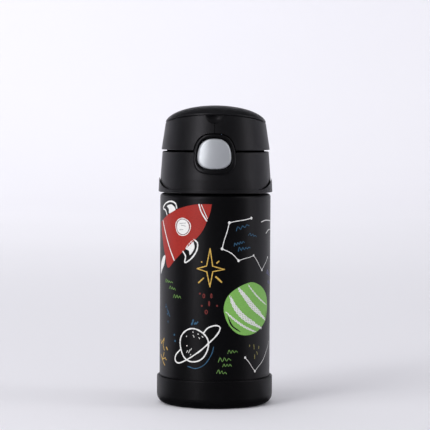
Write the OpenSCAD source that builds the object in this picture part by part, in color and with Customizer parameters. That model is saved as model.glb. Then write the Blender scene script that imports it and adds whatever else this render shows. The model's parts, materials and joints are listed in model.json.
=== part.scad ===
// Insulated kids water bottle with a screw lid, a flip-up cover and a fold-down drinking spout.
// Millimetres. +Z is up, the button faces -Y, and the origin is the centre of the base.

/* [Bottle] */
// Radius of the steel outer shell
body_r = 33.4; // [33.2:0.1:33.6]
// Height of the shoulder of the outer shell
shoulder_z = 127; // [126:0.1:127.3]
// Radius of the base boot
boot_r = 35; // [34.9:0.1:36]
// Height of the base boot
boot_h = 17; // [14:0.5:20]
// Inner radius of the steel liner
liner_r = 30.5; // [29:0.1:31]
// Sheet thickness of the outer shell
shell_wall = 0.5; // [0.4:0.05:0.6]

/* [Neck] */
// Outer radius of the neck
neck_r = 25; // [24.9:0.05:25.1]
// Height of the rim of the neck
rim_z = 141.4; // [141:0.1:141.5]
// Rise of the screw thread in one turn
pitch = 4; // [3.8:0.1:4.4]
// Turns of thread on the neck and in the lid
thread_turns = 1.5; // [1:0.25:1.5]

/* [Lid] */
// Radius of the collar at its foot
collar_r = 33.3; // [33.2:0.05:33.4]
// Radius of the collar at its top edge
collar_top_r = 32.1; // [31.9:0.05:32.3]
// Height of the deck on top of the collar
deck_z = 152.3; // [152.2:0.05:152.4]
// Radius of the grip ring at its foot
grip_r = 34.45; // [34.3:0.05:34.9]

/* [Cover] */
// Height of the lower edge of the cover
cover_z = 153.4; // [153.3:0.05:153.6]
// Radius of the cover at its lower edge
cover_r = 32.7; // [32.5:0.05:32.9]
// Height of the whole bottle with the cover shut
total_h = 180; // [179.5:0.1:181]
// Height of the open seam under the edge of the cap
cap_seam = 0.55; // [0.3:0.05:0.6]

/* [Button] */
// Width of the button
button_w = 20.2; // [19.6:0.1:20.4]
// Height of the button
button_h = 18.7; // [18:0.1:19]
// Travel of the button
button_travel = 1.8; // [1:0.1:1.8]

/* [Spout and straw] */
// Length of the drinking spout from its bend to its tip
spout_len = 26.5; // [22:0.5:27]
// Radius of the drinking spout
spout_r = 4.8; // [4.4:0.1:4.9]
// Outer radius of the straw
straw_r = 3.4; // [3.2:0.1:3.6]
// Height of the straw's lower end
straw_foot_z = 12; // [11:0.5:40]

/* [Hidden] */
$fn = 96;

BLACK = [0.09, 0.09, 0.1];
CHARCOAL = [0.16, 0.16, 0.18];
STEEL = [0.75, 0.76, 0.78];
SILVER = [0.8, 0.81, 0.83];
SILICONE = [0.88, 0.89, 0.9];

// Steps in a rounded corner of a profile
corner_steps = 6;
// Reach of cutting shapes past the surface they cut
far = 40;

// Bottle
shell_base_z = 3;
shoulder_fillet = 2;
neck_wall_r = neck_r - shell_wall;
liner_wall = 0.4;
liner_neck_r = 23.8;
liner_mouth_r = liner_neck_r - liner_wall;
liner_base_z = 8.5;
liner_shoulder_z = shoulder_z - 2.2;
base_disc_r = 28;
base_dish_z = 4.2;

// Thread ridges: axial width at the root and at the crest
ridge_root_w = 1.6;
ridge_crest_w = 0.9;
ridge_height = 1.3;
thread_z = rim_z - 10.4;
thread_step = 10;

// Lid
core_bore_r = neck_r + 1.7;
core_wall_r = 28;
core_ceiling_z = rim_z + 2.3;
core_top_z = core_ceiling_z + 2.8;
core_foot_z = 128.2;
flange_r = 32.9;
flange_z = core_foot_z + 1.5;
collar_straight_z = 136;
collar_wall = 2;
deck_t = 2;
deck_rim_r = 29.4;
deck_rim_t = 1.2;
deck_rim_z = 154.5;
guard_y = 24.3;
guard_x = 15.4;
guard_t = 1.1;
guard_z = 159.9;
vent_x = 12;
vent_y = -8;
vent_r = 1.2;
grip_foot_z = 127.9;
grip_line_z = 130;
grip_ear_z = 136.3;
grip_ear_r = 34;
grip_curve_x = 27;
grip_curve_r = 7;

// Cover: an ellipsoid dome cut by the cone of the wall
dome_z = total_h - 11.5;
dome_h = total_h - dome_z;
dome_x = 30.6;
dome_y = 37;
cover_wall = 2;
cover_slope = 0.1523;
cap_edge_t = 0.7;
cap_t = 1.6;
cap_spigot_r = 28.1;
cap_seat_r = 28.8;
shell_top_r = 28.2;
notch_r = 8.6;
notch_y = -35.2;
notch_z = 176.1;

// Hinge of the cover
hinge_y = 30;
hinge_z = 155.4;
barrel_r = 2.6;
pin_r = 1.25;
pin_play = 0.06;
cover_knuckle = [3.6, 7.6];
lid_knuckle = [8, 12.6];
hinge_gap_x = 13.2;
hinge_gap_z = 159.4;

// Button, its bezel and the latch behind it; the pressed button stops at button_stop_y
button_stop_y = -28.8;
button_wall = 1.4;
button_peg_y = -29.6;
button_peg_r = 1.3;
button_z = 151.65;
bezel_w = 24.6;
bezel_h = 23.8;
bezel_z = 151.1;
bezel_lift = 0.5;
button_lift = 0.8;
button_gap = 0.35;
egg_power = 2.8;
egg_taper = 0.12;
arch_gap = 0.6;
bezel_back_y = -27.8;
bezel_wall_y = -28.7;
bezel_step_z = 147.4;
boss_r = 2.8;
boss_back_y = -25.4;
spring_x = 6.7;
spring_z = 152;
spring_pocket_r = 2.2;
spring_coil_r = 1.7;
spring_wire_r = 0.2;
spring_seat_y = -26.2;
spring_front_y = -30.3;
tongue_w = 7.2;
tongue_y = -27.4;
tongue_t = 1.6;
lip_y = -24.3;
slider_w = 6.8;
slider_z = 152.65;
slider_t = 1.6;
slider_gap = 0.3;

// Spout and straw
spout_y = 8;
spout_z = 158.8;
spout_rest = 8;
ball_r = 5.3;
ball_gap = 0.35;
spout_bore_r = 2;
socket_r = 7.4;
socket_top_z = 157.2;
stem_r = 5;
stem_foot_z = 128;
stem_bore_r = 1.7;
spout_hole_r = 7;
straw_bore_r = straw_r - 0.85;
straw_top_z = 140.5;

// Unit vector from a to b
function toward(a, b) = (b - a) / norm(b - a);

// Points of corner q, rounded with radius q[2] between its neighbours p and n
function corner(p, q, n) =
  let (o = [q[0], q[1]])
  q[2] == undef || q[2] == 0 ? [o] :
  let (
    u = toward(o, [p[0], p[1]]),
    v = toward(o, [n[0], n[1]]),
    half = acos(u * v) / 2,
    centre = o + toward([0, 0], u + v) * q[2] / sin(half),
    first = o + u * q[2] / tan(half) - centre,
    last = o + v * q[2] / tan(half) - centre,
    a0 = atan2(first[1], first[0]),
    turn = atan2(first[0] * last[1] - first[1] * last[0], first * last)
  )
  [
    for (i = [0 : corner_steps])
      let (a = a0 + turn * i / corner_steps)
      centre + q[2] * [cos(a), sin(a)]
  ];

// Outline through the corners [x, y, radius], with each corner rounded
function rounded(c) = [
  for (i = [0 : len(c) - 1])
    each corner(c[(i + len(c) - 1) % len(c)], c[i], c[(i + 1) % len(c)])
];

// Solid of revolution of a rounded outline
module turned(c) {
  rotate_extrude() polygon(rounded(c));
}

// Outline of the button and its bezel: a rounded egg, wider below its middle
function egg(w, h, steps = 56) = [
  for (i = [0 : steps - 1])
    let (
      a = 360 * i / steps,
      x = sign(cos(a)) * pow(abs(cos(a)), 2 / egg_power),
      y = sign(sin(a)) * pow(abs(sin(a)), 2 / egg_power)
    )
    [w / 2 * x * (1 - egg_taper * y), h / 2 * y]
];

// Egg-shaped prism along Y, from y0 to y1
module egg_prism(w, h, z, y0, y1) {
  translate([0, y1, z]) rotate([90, 0, 0]) linear_extrude(y1 - y0) polygon(egg(w, h));
}

// Tapered solid that follows the flank of the lid's front, raised by lift
module front_cone(lift) {
  taper = (collar_r - collar_top_r) / (deck_z - collar_straight_z);
  translate([0, 0, collar_straight_z])
    cylinder(h = far, r1 = collar_r + lift, r2 = collar_r + lift - far * taper);
}

// Closed solid through equal rings of points
module swept(rings) {
  n = len(rings[0]);
  last = len(rings) - 1;
  polyhedron(
    points = [for (ring = rings) each ring],
    faces = [
      [for (j = [n - 1 : -1 : 0]) j],
      for (i = [0 : last - 1], j = [0 : n - 1])
        [i * n + j, i * n + (j + 1) % n, (i + 1) * n + (j + 1) % n, (i + 1) * n + j],
      [for (j = [0 : n - 1]) last * n + j],
    ],
    convexity = 8
  );
}

// Helical thread ridge from the wall at radius root towards radius crest
module thread_ridge(root, crest, z, turns) {
  way = sign(crest - root);
  sink = 0.2 * way;
  steps = round(360 * turns / thread_step);
  swept([
    for (i = [0 : steps])
      let (
        a = i * thread_step,
        ease = min(1, 0.25 + i / 6, 0.25 + (steps - i) / 6),
        r = root + (crest - root) * ease,
        y = z + pitch * a / 360,
        w0 = way * ridge_root_w / 2,
        w1 = way * ridge_crest_w / 2
      )
      [
        for (p = [[root - sink, -w0], [r, -w1], [r, w1], [root - sink, w0]])
          [p[0] * cos(a), p[0] * sin(a), y + p[1]]
      ]
  ]);
}

// Coil of wire along +Z from the origin
module coil(r, wire, length, turns) {
  steps = round(turns * 18);
  swept([
    for (i = [0 : steps])
      let (a = i * 360 * turns / steps)
      [
        for (t = [0 : 60 : 300])
          [
            (r + wire * cos(t)) * cos(a),
            (r + wire * cos(t)) * sin(a),
            length * i / steps + wire * sin(t)
          ]
      ]
  ]);
}

// Straight round wire from p to q
module wire_leg(p, q, wire) {
  d = q - p;
  translate(p)
    rotate([0, acos(d[2] / norm(d)), atan2(d[1], d[0])])
      cylinder(h = norm(d), r = wire, $fn = 24);
}

// Cylinder along X from x0 to x1 through the hinge axis
module on_hinge(r, x0, x1) {
  translate([x0, hinge_y, hinge_z]) rotate([0, 90, 0]) cylinder(h = x1 - x0, r = r);
}

// Everything under the dome of the cover, lowered by drop
module under_dome(drop = 0) {
  translate([0, 0, dome_z - drop]) {
    scale([dome_x, dome_y, dome_h]) sphere(1);
    translate([0, 0, -far]) cylinder(h = far, r = far);
  }
}

// Bottle

module outer_shell() {
  w = shell_wall;
  color(BLACK) {
    turned([
      [base_disc_r, shell_base_z], [body_r, shell_base_z, 5], [body_r, shoulder_z, shoulder_fillet],
      [neck_r, shoulder_z, 0.8], [neck_r, rim_z], [neck_wall_r, rim_z],
      [neck_wall_r, shoulder_z - w, 1.4], [body_r - w, shoulder_z - w, shoulder_fillet - w],
      [body_r - w, shell_base_z + w, 4.4], [base_disc_r, shell_base_z + w],
    ]);
    thread_ridge(neck_r, neck_r + ridge_height, thread_z, thread_turns);
  }
}

module inner_liner() {
  w = liner_wall;
  color(STEEL) turned([
    [0, liner_base_z], [liner_r + w, liner_base_z, 7], [liner_r + w, liner_shoulder_z, 4],
    [liner_neck_r, liner_shoulder_z, 1.2], [liner_neck_r, rim_z - w], [neck_wall_r, rim_z - w],
    [neck_wall_r, rim_z], [liner_mouth_r, rim_z], [liner_mouth_r, liner_shoulder_z - w, 1.7],
    [liner_r, liner_shoulder_z - w, 3.5], [liner_r, liner_base_z + w, 6.5], [0, liner_base_z + w],
  ]);
}

module base_plate() {
  w = shell_wall;
  color(STEEL) turned([
    [0, base_dish_z - w], [9.6, base_dish_z - w, 1], [11.8, shell_base_z, 1],
    [base_disc_r, shell_base_z], [base_disc_r, shell_base_z + w],
    [12.2, shell_base_z + w, 1], [10, base_dish_z, 1], [0, base_dish_z],
  ]);
}

module getter() {
  color(STEEL) translate([0, 0, base_dish_z]) cylinder(h = 1.4, r = 4);
}

module boot() {
  inner_r = body_r + 0.05;
  floor_z = shell_base_z - 0.1;
  color(BLACK) turned([
    [0, 0.8], [20, 0.8], [21, 0, 0.4], [boot_r, 0, 5.5], [boot_r, boot_h, 0.9],
    [inner_r, boot_h, 0.4], [inner_r, floor_z, 5], [0, floor_z],
  ]);
}

// Seal between the neck and the lid

module lid_gasket() {
  foot_z = rim_z + 0.15;
  top_z = core_ceiling_z - 0.15;
  color(SILICONE) turned([
    [21.9, foot_z, 0.5], [25.9, foot_z, 0.5], [25.9, top_z, 0.5], [24.3, top_z, 0.2],
    [23.9, top_z - 0.5, 0.2], [23.5, top_z, 0.2], [21.9, top_z, 0.5],
  ]);
}

// Lid

// Front view of the grip ring: level across the front, curving up to an ear at each side
module grip_outline() {
  difference() {
    translate([-far, grip_foot_z - 1]) square([2 * far, grip_ear_z - grip_foot_z + 1]);
    translate([-grip_curve_x, grip_line_z]) square([2 * grip_curve_x, far]);
    for (side = [-1, 1]) {
      translate([side * grip_curve_x, grip_line_z + grip_curve_r]) circle(grip_curve_r);
    }
    translate([-grip_curve_x - grip_curve_r, grip_line_z + grip_curve_r])
      square([2 * (grip_curve_x + grip_curve_r), 10]);
  }
}

module grip_ring() {
  inner_r = collar_r + 0.05;
  color(CHARCOAL) intersection() {
    turned([
      [flange_r + 0.1, grip_foot_z], [grip_r, grip_foot_z, 0.5], [grip_ear_r, grip_ear_z + 1],
      [inner_r, grip_ear_z + 1], [inner_r, flange_z], [flange_r + 0.1, flange_z],
    ]);
    translate([0, far, 0]) rotate([90, 0, 0]) linear_extrude(2 * far) grip_outline();
  }
}

// Space that the bezel with its spring seats takes in the lid
module bezel_envelope() {
  intersection() {
    union() {
      egg_prism(bezel_w, bezel_h, bezel_z, -far, bezel_wall_y);
      intersection() {
        egg_prism(bezel_w, bezel_h, bezel_z, -far, bezel_back_y);
        translate([-far, -far, bezel_step_z]) cube([2 * far, far, far]);
      }
      for (side = [-1, 1]) {
        translate([side * spring_x, boss_back_y, spring_z])
          rotate([90, 0, 0]) cylinder(h = boss_back_y - bezel_wall_y, r = boss_r);
      }
    }
    front_cone(bezel_lift);
  }
}

// Rim on the deck that the cover closes over, open at the button and at the hinge
module deck_rim() {
  difference() {
    translate([0, 0, deck_z - 1]) cylinder(h = deck_rim_z - deck_z + 1, r = deck_rim_r);
    translate([0, 0, deck_z - 2]) cylinder(h = far, r = deck_rim_r - deck_rim_t);
    translate([-far, guard_y, deck_z - 2]) cube([2 * far, far, far]);
    translate([-bezel_w / 2 - 0.2, -far, deck_z - 2]) cube([bezel_w + 0.4, far, far]);
  }
}

// Wall that shields the spout from the hinge
module hinge_guard() {
  translate([-guard_x, guard_y - guard_t, deck_z - 1]) cube([2 * guard_x, guard_t, guard_z - deck_z + 1]);
}

module lid_collar() {
  color(CHARCOAL) difference() {
    union() {
      deck_rim();
      hinge_guard();
      turned([
        [collar_r, flange_z], [collar_r, collar_straight_z, 8], [collar_top_r, deck_z, 0.5], [0, deck_z],
        [0, deck_z - deck_t], [collar_top_r - collar_wall, deck_z - deck_t, 1],
        [collar_r - collar_wall, collar_straight_z], [collar_r - collar_wall, flange_z],
      ]);
      for (side = [0, 1]) {
        mirror([side, 0, 0]) {
          on_hinge(barrel_r, lid_knuckle[0], lid_knuckle[1]);
          translate([lid_knuckle[0], hinge_y - barrel_r, deck_z - 1])
            cube([lid_knuckle[1] - lid_knuckle[0], 2 * barrel_r - 0.5, hinge_z - deck_z + 1]);
        }
      }
    }
    on_hinge(pin_r, -far, far);
    bezel_envelope();
    translate([0, spout_y, deck_z - deck_t - 1]) cylinder(h = deck_t + 2, r = spout_hole_r);
  }
}

module lid_core() {
  color(CHARCOAL) {
    difference() {
      turned([
        [core_bore_r, core_foot_z, 0.3], [flange_r, core_foot_z, 0.4], [flange_r, flange_z],
        [core_wall_r, flange_z, 0.5], [core_wall_r, core_top_z, 0.6], [0, core_top_z],
        [0, core_ceiling_z], [core_bore_r, core_ceiling_z, 0.4],
      ]);
      translate([0, spout_y, core_ceiling_z - 1]) cylinder(h = 5, r = stem_r);
      translate([vent_x, vent_y, core_ceiling_z - 1]) cylinder(h = 5, r = vent_r);
    }
    translate([0, 0, core_top_z]) difference() {
      cylinder(h = deck_z - deck_t - core_top_z, r = 21.5);
      translate([0, 0, -1]) cylinder(h = 10, r = 20);
    }
    thread_ridge(core_bore_r, core_bore_r - ridge_height - 0.1, thread_z + pitch / 2, thread_turns);
  }
}

module vent_valve() {
  color(SILICONE) translate([vent_x, vent_y, 0]) turned([
    [0, core_ceiling_z - 1.4], [1.4, core_ceiling_z - 1.4, 0.3], [3, core_ceiling_z, 0.2],
    [vent_r, core_ceiling_z], [vent_r, core_top_z], [2, core_top_z, 0.1],
    [1.6, core_top_z + 1.2, 0.4], [0, core_top_z + 1.2],
  ]);
}

// Places its children at the bend of the spout, with +Z along the folded spout
module at_spout() {
  translate([0, spout_y, spout_z]) rotate([90 - spout_rest, 0, 0]) children();
}

module spout_base() {
  groove_z = core_ceiling_z + 0.9;
  color(SILICONE) difference() {
    translate([0, spout_y, 0]) turned([
      [0, stem_foot_z], [straw_bore_r, stem_foot_z, 0.4], [straw_bore_r, straw_top_z],
      [5.9, straw_top_z + 1, 0.4], [5.9, core_ceiling_z], [stem_r, core_ceiling_z],
      [stem_r, groove_z], [stem_r - 0.9, groove_z],
      [stem_r - 0.9, groove_z + 1], [stem_r, groove_z + 1], [stem_r, core_top_z],
      [6.6, core_top_z], [6.6, deck_z - deck_t], [spout_hole_r, deck_z - deck_t],
      [spout_hole_r, deck_z], [8.6, deck_z], [8.6, deck_z + 1.2, 0.5],
      [socket_r, deck_z + 1.4, 0.4], [socket_r, socket_top_z, 0.6], [0, socket_top_z],
    ]);
    translate([0, spout_y, stem_foot_z - 1]) cylinder(h = far, r = stem_bore_r);
    translate([0, spout_y, spout_z]) sphere(ball_r + ball_gap);
    at_spout() cylinder(h = 20, r = spout_r + 0.5);
  }
}

module stem_seal() {
  color(CHARCOAL) translate([0, spout_y, core_ceiling_z + 1.4])
    rotate_extrude() translate([stem_r - 0.45, 0]) circle(0.45);
}

module straw() {
  color(SILICONE) translate([0, spout_y, 0]) difference() {
    translate([0, 0, straw_foot_z]) cylinder(h = straw_top_z - straw_foot_z, r = straw_r);
    translate([0, 0, straw_foot_z - 1]) cylinder(h = straw_top_z, r = straw_bore_r);
    for (side = [0, 180]) {
      rotate([0, 0, side]) translate([0, 0, straw_foot_z]) rotate([90, 0, 0]) cylinder(h = 10, r = 1.6);
    }
  }
}

module button_bezel() {
  clear_w = button_w + 2 * button_gap;
  clear_h = button_h + 2 * button_gap;
  color(BLACK) difference() {
    bezel_envelope();
    egg_prism(clear_w, clear_h, button_z, -far, bezel_wall_y);
    intersection() {
      egg_prism(clear_w, clear_h, button_z, -far, 0);
      translate([-far, -far, bezel_step_z - far]) cube([2 * far, far, far]);
    }
    for (side = [-1, 1]) {
      translate([side * spring_x, spring_seat_y, spring_z])
        rotate([90, 0, 0]) cylinder(h = far, r = spring_pocket_r);
    }
    translate([-slider_w / 2 - slider_gap, -far, slider_z - slider_gap])
      cube([slider_w + 2 * slider_gap, far, slider_t + 2 * slider_gap]);
  }
}

module button_spring(side) {
  color(STEEL) translate([side * spring_x, spring_seat_y - 0.25, spring_z])
    rotate([90, 0, 0]) coil(spring_coil_r, spring_wire_r, spring_seat_y - spring_front_y - 0.5, 5);
}

module button_spring_left() {
  button_spring(-1);
}

module button_spring_right() {
  button_spring(1);
}

module hinge_pin() {
  half = lid_knuckle[1];
  color(STEEL) translate([-half, hinge_y, hinge_z]) rotate([0, 90, 0]) rotate_extrude()
    polygon([[0, 0], [pin_r - 0.25, 0], [pin_r, 0.25], [pin_r, 2 * half - 0.25],
             [pin_r - 0.25, 2 * half], [0, 2 * half]]);
}

module hinge_spring() {
  r = 1.9;
  wire = 0.3;
  half = 2.6;
  color(STEEL) {
    translate([-half, hinge_y, hinge_z]) rotate([0, 90, 0]) coil(r, wire, 2 * half, 4.75);
    wire_leg([-half, hinge_y + 0.1, hinge_z - r], [-half, hinge_y - 5.5, hinge_z - r], wire);
    wire_leg([half, hinge_y - r, hinge_z - 0.1], [half, hinge_y - r + 0.9, hinge_z + 6], wire);
  }
}

// Cover

module cover_body() {
  top_z = total_h + 1;
  turned([
    [0, cover_z], [cover_r, cover_z, 0.3],
    [cover_r - cover_slope * (top_z - cover_z), top_z], [0, top_z],
  ]);
}

module cover_shell() {
  inner_r = cover_r - cover_wall;
  color(CHARCOAL) difference() {
    union() {
      difference() {
        intersection() {
          cover_body();
          under_dome(cap_edge_t + cap_seam);
        }
        translate([0, 0, cover_z - 1])
          cylinder(h = dome_z - cover_z + 1, r1 = inner_r + cover_slope, r2 = shell_top_r);
        cylinder(h = total_h + far, r = shell_top_r);
        egg_prism(bezel_w + 2 * arch_gap, bezel_h + 2 * arch_gap, bezel_z, -far, -far / 2);
        translate([-hinge_gap_x, far / 2, deck_z])
          cube([2 * hinge_gap_x, far, hinge_gap_z - deck_z]);
      }
      intersection() {
        translate([0, notch_y, notch_z]) sphere(notch_r + 1.4);
        cover_body();
        under_dome(cap_t + 0.1);
      }
      latch_tongue();
      for (side = [0, 1]) {
        mirror([side, 0, 0]) cover_hinge_knuckle();
      }
    }
    translate([0, notch_y, notch_z]) sphere(notch_r);
    on_hinge(pin_r + pin_play, -far, far);
  }
}

module latch_tongue() {
  root_z = 164.4;
  foot_z = 154.65;
  translate([-tongue_w / 2, 0, 0]) {
    translate([0, tongue_y, foot_z]) cube([tongue_w, tongue_t, 14.5]);
    translate([0, -29.4, root_z]) cube([tongue_w, 3.6, 4.7]);
    translate([tongue_w, 0, 0]) rotate([90, 0, -90]) linear_extrude(tongue_w)
      polygon([
        [-tongue_y - tongue_t, foot_z], [-tongue_y - tongue_t, foot_z + 2.6],
        [-lip_y, foot_z + 1.6], [-lip_y, foot_z + 0.5], [-lip_y + 0.5, foot_z],
      ]);
  }
}

module cover_hinge_knuckle() {
  width = cover_knuckle[1] - cover_knuckle[0];
  on_hinge(barrel_r, cover_knuckle[0], cover_knuckle[1]);
  intersection() {
    translate([cover_knuckle[0], hinge_y - barrel_r, hinge_z]) cube([width, 2 * barrel_r, 7]);
    cover_body();
  }
}

module cover_cap() {
  color(BLACK) difference() {
    intersection() {
      cover_body();
      under_dome();
    }
    under_dome(cap_t);
    difference() {
      under_dome(cap_edge_t + cap_seam);
      cylinder(h = total_h + far, r = cap_spigot_r);
    }
    difference() {
      under_dome(cap_edge_t);
      cylinder(h = total_h + far, r = cap_seat_r);
    }
  }
}

// Spout

module mouthpiece() {
  color(SILICONE) at_spout() difference() {
    union() {
      sphere(ball_r);
      turned([
        [0, 0], [spout_r, 0], [spout_r, spout_len - 5, 1.5], [spout_r + 0.5, spout_len - 3.4, 0.8],
        [spout_r - 0.6, spout_len, 1.2], [0, spout_len],
      ]);
    }
    translate([0, 0, -far]) cylinder(h = 2 * far, r = spout_bore_r);
  }
}

// Button

module button_cap() {
  color(SILVER) {
    difference() {
      intersection() {
        egg_prism(button_w, button_h, button_z, -far, button_stop_y - button_travel);
        front_cone(button_lift);
      }
      intersection() {
        egg_prism(button_w - 2 * button_wall, button_h - 2 * button_wall, button_z, -far, 0);
        front_cone(button_lift - button_wall);
      }
    }
    for (side = [-1, 1]) {
      translate([side * spring_x, button_peg_y, spring_z])
        rotate([90, 0, 0]) cylinder(h = 2, r = button_peg_r);
    }
  }
}

module latch_slider() {
  front_y = -31.2;
  back_y = -21;
  nose_z = 158.6;
  top = slider_z + slider_t;
  color(CHARCOAL) translate([slider_w / 2, 0, 0]) rotate([90, 0, -90]) linear_extrude(slider_w)
    polygon([
      [-front_y, slider_z], [-front_y, top], [-back_y + 1.8, top], [-back_y + 1.8, nose_z - 1.8],
      [-back_y + 2.5, nose_z - 1.8], [-back_y + 1.8, nose_z], [-back_y, nose_z], [-back_y, slider_z],
    ]);
}

outer_shell();
inner_liner();
base_plate();
getter();
boot();
lid_gasket();
grip_ring();
lid_collar();
lid_core();
vent_valve();
spout_base();
stem_seal();
straw();
button_bezel();
button_spring_left();
button_spring_right();
hinge_pin();
hinge_spring();
cover_shell();
cover_cap();
mouthpiece();
button_cap();
latch_slider();
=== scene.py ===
import json
import math

import bmesh
import bpy
from mathutils import Matrix, Vector


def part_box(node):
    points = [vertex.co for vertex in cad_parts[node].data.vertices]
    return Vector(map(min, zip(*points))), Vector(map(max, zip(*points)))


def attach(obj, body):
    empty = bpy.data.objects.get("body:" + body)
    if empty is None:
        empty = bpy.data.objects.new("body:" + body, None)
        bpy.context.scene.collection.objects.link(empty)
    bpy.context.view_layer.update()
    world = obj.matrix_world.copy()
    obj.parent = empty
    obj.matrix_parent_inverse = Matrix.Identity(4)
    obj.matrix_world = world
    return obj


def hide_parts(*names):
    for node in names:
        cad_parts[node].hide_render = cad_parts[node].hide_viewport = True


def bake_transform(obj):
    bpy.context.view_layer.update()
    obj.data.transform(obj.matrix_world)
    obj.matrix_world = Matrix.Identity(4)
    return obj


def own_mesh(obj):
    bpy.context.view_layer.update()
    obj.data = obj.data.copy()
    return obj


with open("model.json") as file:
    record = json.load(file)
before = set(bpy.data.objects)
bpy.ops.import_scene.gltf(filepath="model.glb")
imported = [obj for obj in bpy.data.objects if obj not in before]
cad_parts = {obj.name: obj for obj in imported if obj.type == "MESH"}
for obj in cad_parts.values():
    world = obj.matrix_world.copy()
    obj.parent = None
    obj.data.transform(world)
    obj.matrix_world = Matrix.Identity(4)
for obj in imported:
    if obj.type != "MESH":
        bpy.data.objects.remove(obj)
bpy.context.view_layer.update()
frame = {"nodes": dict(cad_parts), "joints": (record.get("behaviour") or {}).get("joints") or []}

MM = 0.001
TAU = 2 * math.pi
BODY_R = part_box("outer_shell")[1][0]
LID_FOOT_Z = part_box("lid_core")[0][2]


# ---------------------------------------------------------------- camera

CAMERA_DISTANCE = 1.25
CAMERA_HEIGHT = 0.180
CAMERA_AIM_X = -0.0002
CAMERA_AIM_Z = 0.1137
CAMERA_ROLL = math.radians(0.3)
CAMERA_AZIMUTH = math.radians(1.3)
LENS = 173.0


def make_camera():
    data = bpy.data.cameras.new("camera")
    data.lens = LENS
    data.sensor_width = 36.0
    data.dof.use_dof = False
    camera = bpy.data.objects.new("camera", data)
    bpy.context.collection.objects.link(camera)
    spot = Vector((0.0, -CAMERA_DISTANCE, CAMERA_HEIGHT))
    spot.rotate(Matrix.Rotation(CAMERA_AZIMUTH, 3, "Z"))
    look = Vector((CAMERA_AIM_X, 0.0, CAMERA_AIM_Z)) - spot
    turn = look.to_track_quat("-Z", "Y").to_matrix().to_4x4()
    camera.matrix_world = Matrix.Translation(spot) @ turn @ Matrix.Rotation(CAMERA_ROLL, 4, "Z")
    bpy.context.scene.camera = camera


# ---------------------------------------------------------------- node helpers

class Graph:
    """A material's node tree, with short ways to add and join nodes."""

    def __init__(self, name):
        self.material = bpy.data.materials.new(name)
        self.material.use_nodes = True
        self.tree = self.material.node_tree
        self.tree.nodes.clear()
        self.out = self.tree.nodes.new("ShaderNodeOutputMaterial")
        self.shader = self.tree.nodes.new("ShaderNodeBsdfPrincipled")
        self.join(self.shader.outputs[0], self.out.inputs["Surface"])
        self.place = self.tree.nodes.new("ShaderNodeTexCoord").outputs["Object"]

    def join(self, source, target):
        self.tree.links.new(source, target)

    def put(self, value, socket):
        if isinstance(value, bpy.types.NodeSocket):
            self.join(value, socket)
        else:
            socket.default_value = value

    def node(self, kind, inputs=None, **settings):
        made = self.tree.nodes.new(kind)
        for key, value in settings.items():
            setattr(made, key, value)
        for key, value in (inputs or {}).items():
            self.put(value, made.inputs[key])
        return made

    def scaled(self, x, y, z, turn=(0, 0, 0)):
        made = self.node("ShaderNodeMapping", {"Vector": self.place, "Scale": (x, y, z), "Rotation": turn})
        return made.outputs[0]

    def noise(self, size, detail=3.0, rough=0.55, where=None):
        """Noise from 0 to 1 whose features measure about size metres."""
        made = self.node(
            "ShaderNodeTexNoise",
            {"Vector": where or self.place, "Scale": 1.0 / size, "Detail": detail, "Roughness": rough},
        )
        return made.outputs[0]

    def ramp(self, value, low, high, to_low=0.0, to_high=1.0):
        made = self.node(
            "ShaderNodeMapRange",
            {"Value": value, "From Min": low, "From Max": high, "To Min": to_low, "To Max": to_high},
        )
        return made.outputs[0]

    def math(self, operation, a, b=0.0):
        made = self.node("ShaderNodeMath", operation=operation)
        self.put(a, made.inputs[0])
        self.put(b, made.inputs[1])
        return made.outputs[0]

    def mix(self, share, a, b):
        made = self.node("ShaderNodeMix", data_type="RGBA")
        self.put(share, made.inputs[0])
        self.put(a, made.inputs[6])
        self.put(b, made.inputs[7])
        return made.outputs[2]

    def bump(self, height, depth, strength=1.0, below=None):
        made = self.node("ShaderNodeBump", {"Height": height, "Distance": depth, "Strength": strength})
        if below is not None:
            self.join(below, made.inputs["Normal"])
        return made.outputs[0]

    def axes(self):
        made = self.node("ShaderNodeSeparateXYZ", {0: self.place})
        return made.outputs[0], made.outputs[1], made.outputs[2]

    def set(self, **values):
        names = {"color": "Base Color", "rough": "Roughness", "metal": "Metallic", "normal": "Normal",
                 "ior": "IOR", "coat": "Coat Weight", "coat_rough": "Coat Roughness",
                 "through": "Transmission Weight", "inside": "Subsurface Weight",
                 "inside_scale": "Subsurface Scale", "inside_radius": "Subsurface Radius",
                 "specular": "Specular IOR Level", "tint": "Specular Tint"}
        for key, value in values.items():
            self.put(value, self.shader.inputs[names[key]])
        return self.material


# Faint violet of the light that the black plastics and the powder coat reflect.
SHEEN = (0.95, 0.92, 1.0, 1.0)


def shade(value, blue=1.0):
    """A grey of the given value, with its blue scaled."""
    return (value, value, value * blue, 1.0)


# ---------------------------------------------------------------- materials

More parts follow.
